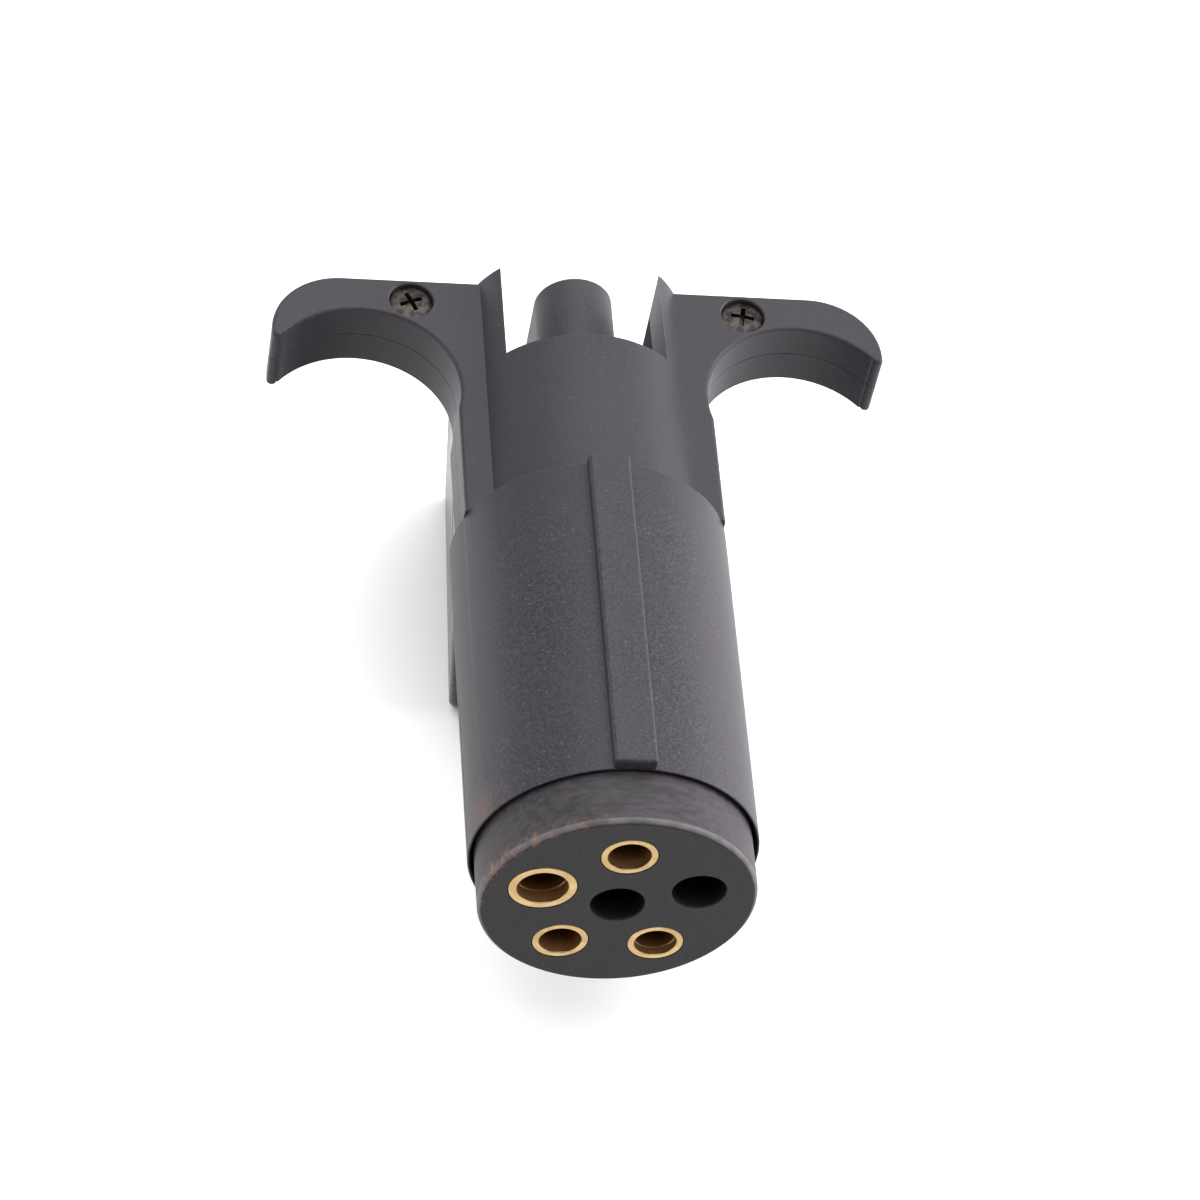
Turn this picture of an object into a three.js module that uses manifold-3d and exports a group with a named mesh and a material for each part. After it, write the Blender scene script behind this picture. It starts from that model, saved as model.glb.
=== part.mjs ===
// Trailer wiring adapter: six-way round plug at the front (-Y), four-way flat outlet at the rear (+Y).
// Millimetres, +Z up. The origin is on the underside, below the middle of the overall length.
// Inside the group, y = 0 is the barrel's front edge and the barrel's axis is the line x = 0, z = 0.

import * as THREE from 'three';
import { ConvexGeometry } from 'three/addons/geometries/ConvexGeometry.js';
import { mergeVertices } from 'three/addons/utils/BufferGeometryUtils.js';
import Module from 'manifold-3d';

const wasm = await Module();
wasm.setup();

// Driving dimensions
const GAP = 0.3;                 // clearance between pieces that touch
const SEAM = 0.1;                // half the gap between the two housings
const BARREL_R = 17.1;
const BARREL_LENGTH = 45.4;
const BORE_R = 16.6;             // mouth of the barrel, around the carrier's head
const BORE_INNER_R = 15.2;       // the rest of the barrel's bore
const BORE_STEP_Y = 8;
const KEY_WIDTH = 5;
const KEY_TOP = 18.6;            // height of the key rib's top above the axis
const NECK_R = 14.5;
const NECK_BORE_R = 12;
const NECK_END = 68.4;           // rear face of the neck's end wall
const WALL = 2;
const WING_TOP = 7.4;
const WING_BOTTOM = -2.2;
const WING_SEAM = 2.6;           // height of the joint between the halves of the wing
const WING_HALF_WIDTH = 16.1;
const WING_REAR = 82.8;
const FINGER = { x: 27.95, y: 65.1, r: 12.3 };   // concave finger rest of the right hook
const HOOK_CORNER_R = 9;
const HOOK_REACH = 39;           // outermost x of the hooks
const CHANNEL_HALF_WIDTH = 10.15;
const CHAMBER_HALF_WIDTH = 11;
const BASE_Z = -35;              // underside of the lower housing
const FLOOR_Z = -32.6;           // floor of the chamber and the channel
const BASE_HALF_WIDTH = 13.35;   // at the front of the underside
const TOWER_TAPER = 1.2;         // how much narrower each side of the lower housing is at the rear
const TOE_R = 3;                 // rounding of the lower front edge
const BASE_CHAMFER = 1;

const CARRIER_FRONT = -6.9;
const CARRIER_REAR = 21.5;
const CARRIER_EDGE_R = 0.7;
const CONTACT_CIRCLE_R = 9.6;
const CONTACT_CENTER_Z = -0.2;   // the contacts sit slightly below the barrel's axis
const EMPTY_HOLE_R = 3.2;
const EMPTY_HOLE_END = 16;
const LOCK_PLATE = { front: 21.8, rear: 23.8, hole: 1.9 };
const RETAINING_RIB = { front: 24.1, rear: 26, r: 13.4 };

const SIGNAL = { r: 3.3, mouth: 2.6, bore: 2.4 };
const GROUND = { r: 4, mouth: 3.1, bore: 2.95 };
const SOCKET_STEP = 2.2;         // depth of the wider mouth
const SOCKET_DEPTH = 18.6;
const CUP_R = 1.5;               // solder cup behind each socket
const CUP_END = 30;
const WIRE_R = 1.4;
const SHRINK = { front: 25.5, rear: 35, inner: 1.8, outer: 2.3 };

const OUTLET_X = 0.7;            // the outlet stands slightly to the right of the axis
const OUTLET_TOP_Z = 0.2;        // height of its topmost contact
const OUTLET_PITCH = 8.4;
const OUTLET_HALF_WIDTH = 5.05;
const OUTLET_REAR = 86.6;
const OUTLET_FRONT = 61;
const OUTLET_PIN_BASE = 76;      // rear face of the block at the bare pin
const PIN_POSITION = 3;          // the bare pin is the lowest contact
const CONTACT_FRONT = 62.5;      // front shoulder of the outlet's contacts
const FLANGE_HALF_WIDTH = 6.3;
const FLANGE_REAR = 65.7;
const OUTLET_SOCKET = { r: 2.6, bore: 2, rear: 84, depth: 17, recess: 3 };
const OUTLET_PIN = { r: 2, end: 86 };
const TAIL = { r: 1.3, end: 57 };

const SCREW = { x: 21.3, y: 79.3, head: 2.7, shank: 1.35, seat: 5.2, top: 7.2, tip: -0.9, slot: 0.8 };
const COUNTERBORE_R = 3.05;

// contacts on the carrier, by angle from +X towards +Z, each with its outlet position and wire colour
const CONTACTS = [
  { name: 'right_turn', angle: 90, size: SIGNAL, outlet: 0, color: 0x1f7a3a },
  { name: 'left_turn', angle: 306, size: SIGNAL, outlet: 1, color: 0xd9b92c },
  { name: 'tail', angle: 234, size: SIGNAL, outlet: 2, color: 0x6b3f22 },
  { name: 'ground', angle: 162, size: GROUND, outlet: 3, color: 0xe8e6df },
];
const EMPTY_ANGLE = 18;

// Facets of the large rounds, of the holes and small turned pieces, and of each arc in an outline
const ROUND_SEGMENTS = 60;
const HOLE_SEGMENTS = 20;
const ARC_SEGMENTS = 8;

// Materials
const paint = (color, roughness, metalness = 0) =>
  new THREE.MeshStandardMaterial({ color, roughness, metalness });
const housingPlastic = () => paint(0x4a484b, 0.6);
const carrierPlastic = () => paint(0x3c3b3d, 0.7);
const brass = () => paint(0xc9973f, 0.28, 1);
const screwSteel = () => paint(0x5a4a42, 0.4, 1);
const outletRubber = () => paint(0x454447, 0.65);
const shrinkTube = () => paint(0x161616, 0.5);

// Geometry helpers

// merges shared vertices, drops slivers of no area and turns the faces outward
function closed(geometry) {
  geometry.deleteAttribute('normal');
  geometry.deleteAttribute('uv');
  const merged = mergeVertices(geometry, 1e-5);
  const corners = [0, 1, 2].map(() => new THREE.Vector3());
  const triangles = [];
  let volume = 0;
  for (let i = 0; i < merged.index.count; i += 3) {
    const triangle = Array.from(merged.index.array.slice(i, i + 3));
    if (new Set(triangle).size < 3) continue;
    const [a, b, c] = triangle.map((v, k) => corners[k].fromBufferAttribute(merged.attributes.position, v));
    volume += a.dot(b.clone().cross(c));
    triangles.push(triangle);
  }
  merged.setIndex(triangles.flatMap(([a, b, c]) => (volume < 0 ? [a, c, b] : [a, b, c])));
  return merged;
}

function solid(geometry) {
  const shape = closed(geometry);
  return new wasm.Manifold(new wasm.Mesh({
    numProp: 3,
    vertProperties: new Float32Array(shape.attributes.position.array),
    triVerts: new Uint32Array(shape.index.array),
  }));
}

function toGeometry(body) {
  const mesh = body.getMesh();
  const geometry = new THREE.BufferGeometry();
  geometry.setAttribute('position', new THREE.BufferAttribute(mesh.vertProperties, 3));
  geometry.setIndex(new THREE.BufferAttribute(mesh.triVerts, 1));
  return geometry;
}

const vec2 = ([x, y]) => new THREE.Vector2(x, y);

// a solid of revolution about the line through (x, z) along Y; profile points are [radius, y]
function turned(profile, x = 0, z = 0, segments = HOLE_SEGMENTS) {
  const g = new THREE.LatheGeometry(profile.map(vec2), segments);
  return solid(g.translate(x, 0, z));
}

const rod = (r, y0, y1, x = 0, z = 0, segments = HOLE_SEGMENTS) =>
  turned([[0, y0], [r, y0], [r, y1], [0, y1]], x, z, segments);

// the same about a vertical line through (x, y); profile points are [radius, z]
function turnedUp(profile, x, y) {
  const g = new THREE.LatheGeometry(profile.map(vec2), HOLE_SEGMENTS);
  return solid(g.rotateX(Math.PI / 2).translate(x, y, 0));
}

function box(x0, x1, y0, y1, z0, z1) {
  const g = new THREE.BoxGeometry(x1 - x0, y1 - y0, z1 - z0);
  return solid(g.translate((x0 + x1) / 2, (y0 + y1) / 2, (z0 + z1) / 2));
}

// an outline in X and Y, raised from z0 to z1
function raised(shape, z0, z1, curveSegments = ARC_SEGMENTS) {
  const g = new THREE.ExtrudeGeometry(shape, { depth: z1 - z0, bevelEnabled: false, curveSegments });
  return solid(g.translate(0, 0, z0));
}

// an outline in X and Z, drawn out from y0 to y1
function drawn(shape, y0, y1, curveSegments = ARC_SEGMENTS) {
  const g = new THREE.ExtrudeGeometry(shape, { depth: y1 - y0, bevelEnabled: false, curveSegments });
  return solid(g.rotateX(Math.PI / 2).translate(0, y1, 0));
}

function piece(name, body, material) {
  const node = new THREE.Mesh(toGeometry(body), material);
  node.name = name;
  return node;
}

// place on the contact circle
const polar = (angle) => {
  const a = THREE.MathUtils.degToRad(angle);
  return { x: CONTACT_CIRCLE_R * Math.cos(a), z: CONTACT_CENTER_Z + CONTACT_CIRCLE_R * Math.sin(a) };
};

const outletZ = (position) => OUTLET_TOP_Z - position * OUTLET_PITCH;

// the outlet's tall outline with round ends, down to one of its contact positions
function stadium(halfWidth, lastPosition) {
  const shape = new THREE.Shape();
  shape.absarc(OUTLET_X, outletZ(0), halfWidth, 0, Math.PI, false);
  shape.absarc(OUTLET_X, outletZ(lastPosition), halfWidth, Math.PI, 2 * Math.PI, false);
  return shape;
}

// Housings
function wingOutline() {
  const tipR = 0.66;
  const tip = { x: HOOK_REACH - tipR, y: 73.05 };
  const corner = { x: HOOK_REACH - HOOK_CORNER_R, y: WING_REAR - HOOK_CORNER_R };
  const start = Math.PI + Math.acos((FINGER.x - WING_HALF_WIDTH) / FINGER.r);
  const end = Math.atan2(tip.y - FINGER.y, tip.x - tipR - FINGER.x);
  const frontY = BARREL_LENGTH - 1;
  const shape = new THREE.Shape();
  shape.moveTo(0, frontY);
  shape.lineTo(WING_HALF_WIDTH, frontY);
  shape.absarc(FINGER.x, FINGER.y, FINGER.r, start, end, true);
  shape.absarc(tip.x, tip.y, tipR, Math.PI, 2 * Math.PI, false);
  shape.absarc(corner.x, corner.y, HOOK_CORNER_R, 0, Math.PI / 2, false);
  shape.lineTo(0, WING_REAR);
  shape.closePath();
  return shape;
}

const mirrored = (body) => body.add(body.mirror([1, 0, 0]));

function wings(z0, z1) {
  return mirrored(raised(wingOutline(), z0, z1));
}

function towerHalfWidth(y, z) {
  const back = (y - BARREL_LENGTH) / (WING_REAR - BARREL_LENGTH);
  const down = Math.max(0, (WING_BOTTOM - z) / (WING_BOTTOM - BASE_Z));
  return WING_HALF_WIDTH - TOWER_TAPER * back - (WING_HALF_WIDTH - BASE_HALF_WIDTH) * down;
}

// deep body below the neck, narrower towards its base and its rear, with a rounded toe
function tower() {
  const points = [];
  const across = (y, z, inset = 0) => {
    const x = towerHalfWidth(y, z) - inset;
    points.push(new THREE.Vector3(x, y, z), new THREE.Vector3(-x, y, z));
  };
  for (const y of [BARREL_LENGTH, WING_REAR]) {
    across(y, WING_SEAM);
    across(y, WING_BOTTOM);
  }
  for (let step = 0; step <= ARC_SEGMENTS; step += 1) {
    const a = (step / ARC_SEGMENTS) * Math.PI / 2;
    const rise = TOE_R * (1 - Math.sin(a));
    across(BARREL_LENGTH + TOE_R * (1 - Math.cos(a)), BASE_Z + rise, Math.max(0, BASE_CHAMFER - rise));
  }
  across(BARREL_LENGTH + TOE_R, BASE_Z + BASE_CHAMFER);
  across(WING_REAR, BASE_Z + BASE_CHAMFER);
  across(WING_REAR, BASE_Z, BASE_CHAMFER);
  return solid(new ConvexGeometry(points));
}

function shell() {
  const chamfer = 0.3;
  const barrel = turned([
    [0, 0], [BARREL_R - chamfer, 0], [BARREL_R, chamfer],
    [BARREL_R, BARREL_LENGTH - chamfer], [BARREL_R - chamfer, BARREL_LENGTH], [0, BARREL_LENGTH],
  ], 0, 0, ROUND_SEGMENTS);
  const key = box(-KEY_WIDTH / 2, KEY_WIDTH / 2, 0, BARREL_LENGTH, 0, KEY_TOP);
  const neck = rod(NECK_R, BARREL_LENGTH - 1, WING_REAR, 0, 0, ROUND_SEGMENTS)
    .subtract(box(-NECK_R, NECK_R, BARREL_LENGTH - 2, WING_REAR + 1, -NECK_R - 1, 0));
  return barrel.add(key).add(neck).add(wings(WING_BOTTOM, WING_TOP)).add(tower());
}

function hollow() {
  const endWall = NECK_END - WALL;
  const bore = turned([
    [0, -1], [BORE_R, -1], [BORE_R, BORE_STEP_Y], [BORE_INNER_R, BORE_STEP_Y],
    [BORE_INNER_R, RETAINING_RIB.front], [RETAINING_RIB.r, RETAINING_RIB.front],
    [RETAINING_RIB.r, RETAINING_RIB.rear], [BORE_INNER_R, RETAINING_RIB.rear],
    [BORE_INNER_R, BARREL_LENGTH - WALL], [NECK_BORE_R, BARREL_LENGTH - WALL],
    [NECK_BORE_R, endWall], [0, endWall],
  ], 0, 0, ROUND_SEGMENTS);
  const chamber = box(-CHAMBER_HALF_WIDTH, CHAMBER_HALF_WIDTH, BARREL_LENGTH + WALL, endWall, FLOOR_Z, 0);
  const channel = box(-CHANNEL_HALF_WIDTH, CHANNEL_HALF_WIDTH, NECK_END, WING_REAR + 2,
    FLOOR_Z, KEY_TOP + 2);
  const slot = drawn(stadium(OUTLET_HALF_WIDTH + GAP, 3), endWall - 1, NECK_END + 1);
  return bore.add(chamber).add(channel).add(slot);
}

function screwHoles() {
  const hole = turnedUp([
    [0, SCREW.tip - 0.3], [SCREW.shank + 0.2, SCREW.tip - 0.3], [SCREW.shank + 0.2, SCREW.seat - 0.1],
    [COUNTERBORE_R, SCREW.seat - 0.1], [COUNTERBORE_R, WING_TOP + 1], [0, WING_TOP + 1],
  ], SCREW.x, SCREW.y);
  return mirrored(hole);
}

// the space above the stepped joint between the housings, or below it
function above(seam) {
  const front = box(-60, 60, -10, BARREL_LENGTH - seam, seam, 40);
  return front.add(box(-60, 60, BARREL_LENGTH - seam - 1, 100, WING_SEAM + seam, 40));
}

function housings() {
  const body = shell().subtract(hollow()).subtract(screwHoles());
  return [
    piece('upper_housing', body.intersect(above(SEAM)), housingPlastic()),
    piece('lower_housing', body.subtract(above(-SEAM)), housingPlastic()),
  ];
}

// Round plug
function carrier() {
  const r = BORE_R - GAP;
  const edge = [0, 0.5, 1].map((t) => {
    const a = t * Math.PI / 2;
    return [r - CARRIER_EDGE_R * (1 - Math.sin(a)), CARRIER_FRONT + CARRIER_EDGE_R * (1 - Math.cos(a))];
  });
  let body = turned([
    [0, CARRIER_FRONT], ...edge, [r, BORE_STEP_Y - GAP],
    [BORE_INNER_R - GAP, BORE_STEP_Y - GAP], [BORE_INNER_R - GAP, CARRIER_REAR], [0, CARRIER_REAR],
  ], 0, 0, ROUND_SEGMENTS);
  for (const contact of CONTACTS) {
    const at = polar(contact.angle);
    body = body.subtract(rod(contact.size.r + 0.15, CARRIER_FRONT - 1, CARRIER_REAR + 1, at.x, at.z));
  }
  for (const at of [{ x: 0, z: CONTACT_CENTER_Z }, polar(EMPTY_ANGLE)]) {
    body = body.subtract(rod(EMPTY_HOLE_R, CARRIER_FRONT - 1, EMPTY_HOLE_END, at.x, at.z));
  }
  return piece('contact_carrier', body, carrierPlastic());
}

function lockPlate() {
  let body = rod(BORE_INNER_R - GAP, LOCK_PLATE.front, LOCK_PLATE.rear, 0, 0, ROUND_SEGMENTS);
  for (const contact of CONTACTS) {
    const at = polar(contact.angle);
    body = body.subtract(rod(LOCK_PLATE.hole, LOCK_PLATE.front - 1, LOCK_PLATE.rear + 1, at.x, at.z));
  }
  return piece('carrier_lock_plate', body, carrierPlastic());
}

function socket({ name, angle, size }) {
  const at = polar(angle);
  const front = CARRIER_FRONT;
  const body = turned([
    [0, front + SOCKET_DEPTH], [size.bore, front + SOCKET_DEPTH], [size.bore, front + SOCKET_STEP],
    [size.mouth, front + SOCKET_STEP], [size.mouth, front], [size.r, front], [size.r, CARRIER_REAR],
    [CUP_R, CARRIER_REAR], [CUP_R, CUP_END], [0, CUP_END],
  ], at.x, at.z);
  return piece(`socket_${name}`, body, brass());
}

function shrink({ name, angle }) {
  const at = polar(angle);
  const body = turned([
    [SHRINK.inner, SHRINK.front], [SHRINK.outer, SHRINK.front], [SHRINK.outer, SHRINK.rear],
    [SHRINK.inner, SHRINK.rear], [SHRINK.inner, SHRINK.front],
  ], at.x, at.z, 12);
  return piece(`shrink_${name}`, body, shrinkTube());
}

// Wires: straight out of the shrink tube, through the neck, then down to their outlet position
const BENDS = {
  right_turn: [[0, 44, 8], [0, 51, 2.5]],
  left_turn: [[5, 43, -7.8], [2, 51, -8.4]],
  tail: [[-5.6, 42, -7.8], [-4.8, 48, -9.4], [-2, 53, -15]],
  ground: [[-9.2, 42, 1.5], [-9, 48, -5], [-6.5, 51.5, -15], [-2, 53.6, -23]],
};

function wire({ name, angle, outlet, color }) {
  const at = polar(angle);
  const endZ = outletZ(outlet);
  const points = [
    [at.x, CUP_END + GAP, at.z], [at.x, SHRINK.rear + 0.5, at.z], ...BENDS[name],
    [OUTLET_X, TAIL.end - GAP - 1, endZ], [OUTLET_X, TAIL.end - GAP, endZ],
  ].map((p) => new THREE.Vector3(...p));
  const circle = new THREE.Shape().absarc(0, 0, WIRE_R, 0, 2 * Math.PI, false);
  const g = new THREE.ExtrudeGeometry(circle, {
    extrudePath: new THREE.CatmullRomCurve3(points, false, 'centripetal'),
    steps: 20, curveSegments: 4, bevelEnabled: false,
  });
  return piece(`wire_${name}`, solid(g), paint(color, 0.5));
}

// Flat outlet
function outletBlock() {
  const flange = drawn(stadium(FLANGE_HALF_WIDTH, 3), OUTLET_FRONT, FLANGE_REAR);
  const shroud = drawn(stadium(OUTLET_HALF_WIDTH, 2), OUTLET_FRONT, OUTLET_REAR);
  const base = drawn(stadium(OUTLET_HALF_WIDTH, 3), OUTLET_FRONT, OUTLET_PIN_BASE);
  let body = flange.add(shroud).add(base);
  for (const { outlet } of CONTACTS) {
    const z = outletZ(outlet);
    const isPin = outlet === PIN_POSITION;
    const r = (isPin ? OUTLET_PIN.r : OUTLET_SOCKET.r) + 0.15;
    const rear = isPin ? OUTLET_PIN_BASE + 1 : OUTLET_SOCKET.rear + 0.3;
    body = body.subtract(rod(TAIL.r + 0.15, OUTLET_FRONT - 1, CONTACT_FRONT, OUTLET_X, z));
    body = body.subtract(rod(r, CONTACT_FRONT - GAP, rear, OUTLET_X, z));
    if (!isPin) {
      body = body.subtract(rod(OUTLET_SOCKET.recess, OUTLET_SOCKET.rear, OUTLET_REAR + 1, OUTLET_X, z));
    }
  }
  return piece('outlet_block', body, outletRubber());
}

function outletContact({ name, outlet }) {
  const z = outletZ(outlet);
  const tail = [[0, TAIL.end], [TAIL.r, TAIL.end], [TAIL.r, CONTACT_FRONT]];
  if (outlet === PIN_POSITION) {
    const { r, end } = OUTLET_PIN;
    const nose = [[r, end - 1.4], [r * 0.75, end - 0.5], [r * 0.4, end], [0, end]];
    return piece('outlet_pin_ground', turned([...tail, [r, CONTACT_FRONT], ...nose], OUTLET_X, z), brass());
  }
  const { r, bore, rear, depth } = OUTLET_SOCKET;
  const barrel = [[r, CONTACT_FRONT], [r, rear], [bore, rear], [bore, rear - depth], [0, rear - depth]];
  return piece(`outlet_socket_${name}`, turned([...tail, ...barrel], OUTLET_X, z), brass());
}

// Fasteners
function screw(side) {
  const { head, shank, seat, top, tip, slot } = SCREW;
  const x = side * SCREW.x;
  const y = SCREW.y;
  const body = turnedUp([
    [0, tip], [shank, tip], [shank, seat], [head, seat], [head, top - 0.6], [head * 0.8, top - 0.15],
    [0, top],
  ], x, y);
  const reach = head * 0.62;
  const depth = 1.1;
  const half = slot / 2;
  const across = box(x - reach, x + reach, y - half, y + half, top - depth, top + 1);
  const along = box(x - half, x + half, y - reach, y + reach, top - depth, top + 1);
  return piece(side < 0 ? 'screw_left' : 'screw_right', body.subtract(across.add(along)), screwSteel());
}

const adapter = new THREE.Group();
adapter.add(...housings(), carrier(), lockPlate());
adapter.add(...CONTACTS.map(socket), ...CONTACTS.map(shrink), ...CONTACTS.map(wire));
adapter.add(outletBlock(), ...CONTACTS.map(outletContact), screw(-1), screw(1));
adapter.position.set(0, -(CARRIER_FRONT + OUTLET_REAR) / 2, -BASE_Z);

export default adapter;
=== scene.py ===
"""Looks of a trailer wiring adapter: six-way round plug in front (-Y), four-way flat outlet behind (+Y).

Pieces are modelled in millimetres around the barrel's axis (x = 0, z = 0, and y = 0 at the barrel's front
edge) and then moved into the frame of the CAD model, in metres.
"""
import math

import bmesh
import bpy
from mathutils import Matrix, Vector


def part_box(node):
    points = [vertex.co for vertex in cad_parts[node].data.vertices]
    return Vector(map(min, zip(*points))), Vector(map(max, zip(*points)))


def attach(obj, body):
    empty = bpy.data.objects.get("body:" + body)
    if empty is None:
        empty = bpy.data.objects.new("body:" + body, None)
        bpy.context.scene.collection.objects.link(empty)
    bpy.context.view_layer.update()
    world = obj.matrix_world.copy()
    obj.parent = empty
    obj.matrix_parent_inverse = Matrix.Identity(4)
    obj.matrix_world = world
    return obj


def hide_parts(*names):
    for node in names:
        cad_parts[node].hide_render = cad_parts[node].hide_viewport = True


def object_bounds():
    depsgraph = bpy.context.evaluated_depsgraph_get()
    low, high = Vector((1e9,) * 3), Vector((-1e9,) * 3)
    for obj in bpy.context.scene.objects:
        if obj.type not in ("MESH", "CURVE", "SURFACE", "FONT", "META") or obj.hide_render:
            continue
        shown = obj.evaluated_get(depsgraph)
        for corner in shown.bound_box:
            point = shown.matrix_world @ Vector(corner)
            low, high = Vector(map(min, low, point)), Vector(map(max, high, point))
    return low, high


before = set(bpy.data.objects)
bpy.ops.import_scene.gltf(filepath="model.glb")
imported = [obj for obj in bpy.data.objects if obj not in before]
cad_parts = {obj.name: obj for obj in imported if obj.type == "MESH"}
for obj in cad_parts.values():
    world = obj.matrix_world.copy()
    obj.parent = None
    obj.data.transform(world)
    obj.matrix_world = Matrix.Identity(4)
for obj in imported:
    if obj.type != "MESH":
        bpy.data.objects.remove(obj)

cad_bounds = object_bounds()

# ---------------------------------------------------------------- sizes, in millimetres
MM = 0.001
_shell_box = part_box("upper_housing")
_lock_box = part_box("carrier_lock_plate")
ORIGIN = Vector((0, _shell_box[0].y, (_lock_box[0].z + _lock_box[1].z) / 2))
TO_FRAME = Matrix.Translation(ORIGIN) @ Matrix.Scale(MM, 4)


def span(node):
    """Lowest and highest corner of a CAD node, in millimetres around the barrel's axis."""
    return [(corner - ORIGIN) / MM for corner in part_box(node)]


SHELL, BASE = span("upper_housing"), span("lower_housing")
CARRIER, OUTLET = span("contact_carrier"), span("outlet_block")

BARREL_R = 17.1
BARREL_LENGTH = 45.4
BORE_R = CARRIER[1].x + 0.3
BORE_INNER_R = 15.2
BORE_STEP_Y = 8
LEDGE_R = 13.4
LEDGE_FRONT, LEDGE_REAR = 24.1, 26
KEY_WIDTH = 5
KEY_TOP = SHELL[1].z
NECK_R = 14.5
NECK_BORE_R = 12
NECK_END = 68.4
WALL = 2
WING_TOP = 7.4
WING_BOTTOM = -2.2
WING_SEAM = 2.6
WING_HALF_WIDTH = 16.1
WING_REAR = SHELL[1].y
FINGER_X, FINGER_Y, FINGER_R = 27.95, 65.1, 12.3
HOOK_CORNER_R = 9
HOOK_REACH = SHELL[1].x
HOOK_TIP_R = 0.66
HOOK_TIP_Y = 73.05
CHANNEL_HALF_WIDTH = 10.15
CHAMBER_HALF_WIDTH = 11
BASE_Z = BASE[0].z
FLOOR_Z = BASE_Z + 2.4
BASE_HALF_WIDTH = 13.35
TOWER_TAPER = 1.2
TOE_R = 3
SEAM = 0.03
GAP = 0.3

CARRIER_R = CARRIER[1].x
CARRIER_FRONT = CARRIER[0].y
CARRIER_REAR = CARRIER[1].y
CONTACT_CIRCLE_R = 9.6
CONTACT_CENTER_Z = -0.2
EMPTY_HOLE_R = 3.2
EMPTY_HOLE_END = 16
SOCKET_DEPTH = 18.6
CUP_R, CUP_END = 1.5, 30

OUTLET_X = (OUTLET[0].x + OUTLET[1].x) / 2
OUTLET_TOP_Z = 0.2
OUTLET_PITCH = 8.4
OUTLET_HALF_WIDTH = 5.05
OUTLET_FRONT, OUTLET_REAR = OUTLET[0].y, OUTLET[1].y
PIN_POSITION = 3
PIN_BASE_REAR = 76
PIN_R, PIN_TIP_R, PIN_SEAT_R = 2, 1.6, 2.15
OUTLET_SLEEVE_R, OUTLET_SLEEVE_BORE_R, OUTLET_SLEEVE_DEPTH = 2.6, 2.0, 17
OUTLET_SEAT_R = 2.75
OUTLET_MOUTH_R, OUTLET_MOUTH_Y = 3, 84
CONTACT_FRONT = 62.5
FLANGE_HALF_WIDTH = (OUTLET[1].x - OUTLET[0].x) / 2
FLANGE_REAR = 65.7
TAIL_R = 1.3

SCREW_X, SCREW_Y = 21.3, 79.3
SCREW_SEAT = 5.2
SCREW_HOLE_R = 1.55
COUNTERBORE_R = 2.8

# blocks that divide the shells reach well outside them: sideways, in front, behind, below and above
FAR_X, FAR_FRONT, FAR_REAR, FAR_LOW, FAR_HIGH = 60, -5, 100, -40, 40

# name: angle on the carrier from +X towards +Z, sleeve radius, bore radius, depth of the bore's wide mouth,
# position in the outlet from its top
CONTACTS = {
    "right_turn": (90, 3.3, 2.5, 4.2, 0),
    "left_turn": (306, 3.3, 2.5, 0.95, 1),
    "tail": (234, 3.3, 2.5, 4.2, 2),
    "ground": (162, 4.0, 3.0, 1.6, 3),
}
EMPTY_ANGLE = 18


def on_circle(angle):
    """Where a hole at this angle on the carrier has its axis, in X and Z."""
    a = math.radians(angle)
    return CONTACT_CIRCLE_R * math.cos(a), CONTACT_CENTER_Z + CONTACT_CIRCLE_R * math.sin(a)


def outlet_z(position):
    return OUTLET_TOP_Z - position * OUTLET_PITCH


# ---------------------------------------------------------------- mesh helpers
def arc(cx, cy, radius, start, end, steps):
    """Points along an arc, angles in degrees, both ends included."""
    angles = [math.radians(start + (end - start) * k / steps) for k in range(steps + 1)]
    return [(cx + radius * math.cos(a), cy + radius * math.sin(a)) for a in angles]


def new_object(name, bm):
    bmesh.ops.recalc_face_normals(bm, faces=bm.faces)
    mesh = bpy.data.meshes.new(name)
    bm.to_mesh(mesh)
    bm.free()
    obj = bpy.data.objects.new(name, mesh)
    bpy.context.scene.collection.objects.link(obj)
    return obj


def turned(profile, steps=64, x=0.0, z=0.0, name="turned"):
    """Solid of revolution about the line through (x, z) along Y, from points (radius, y) that end on it."""
    bm = bmesh.new()
    rings = []
    for radius, y in profile:
        if radius < 1e-6:
            rings.append([bm.verts.new((x, y, z))])
            continue
        angles = [2 * math.pi * k / steps for k in range(steps)]
        rings.append([bm.verts.new((x + radius * math.sin(a), y, z + radius * math.cos(a))) for a in angles])
    for one, two in zip(rings, rings[1:]):
        for k in range(steps):
            j = (k + 1) % steps
            corners = [one[k % len(one)], one[j % len(one)], two[j % len(two)], two[k % len(two)]]
            corners = list(dict.fromkeys(corners))
            if len(corners) > 2:
                bm.faces.new(corners)
    return new_object(name, bm)


def inset(outline, distance):
    """The closed outline moved inwards (it runs anticlockwise)."""
    moved = []
    count = len(outline)
    for k in range(count):
        before, here, after = (Vector(outline[(k + d) % count]) for d in (-1, 0, 1))
        a = (here - before).normalized()
        b = (after - here).normalized()
        normal = (Vector((-a.y, a.x)) + Vector((-b.y, b.x))).normalized()
        stretch = max(normal.dot(Vector((-a.y, a.x))), 0.4)
        moved.append(tuple(here + normal * (distance / stretch)))
    return moved


def rounded_levels(low, high, low_r, high_r):
    """(inset, height) pairs that round both ends of a raised outline."""
    steps = 5
    levels = []
    for k in range(steps + 1):
        a = math.pi / 2 * k / steps
        levels.append((low_r * (1 - math.sin(a)), low + low_r * (1 - math.cos(a))))
    for k in range(steps, -1, -1):
        a = math.pi / 2 * k / steps
        levels.append((high_r * (1 - math.sin(a)), high - high_r * (1 - math.cos(a))))
    return levels


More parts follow.
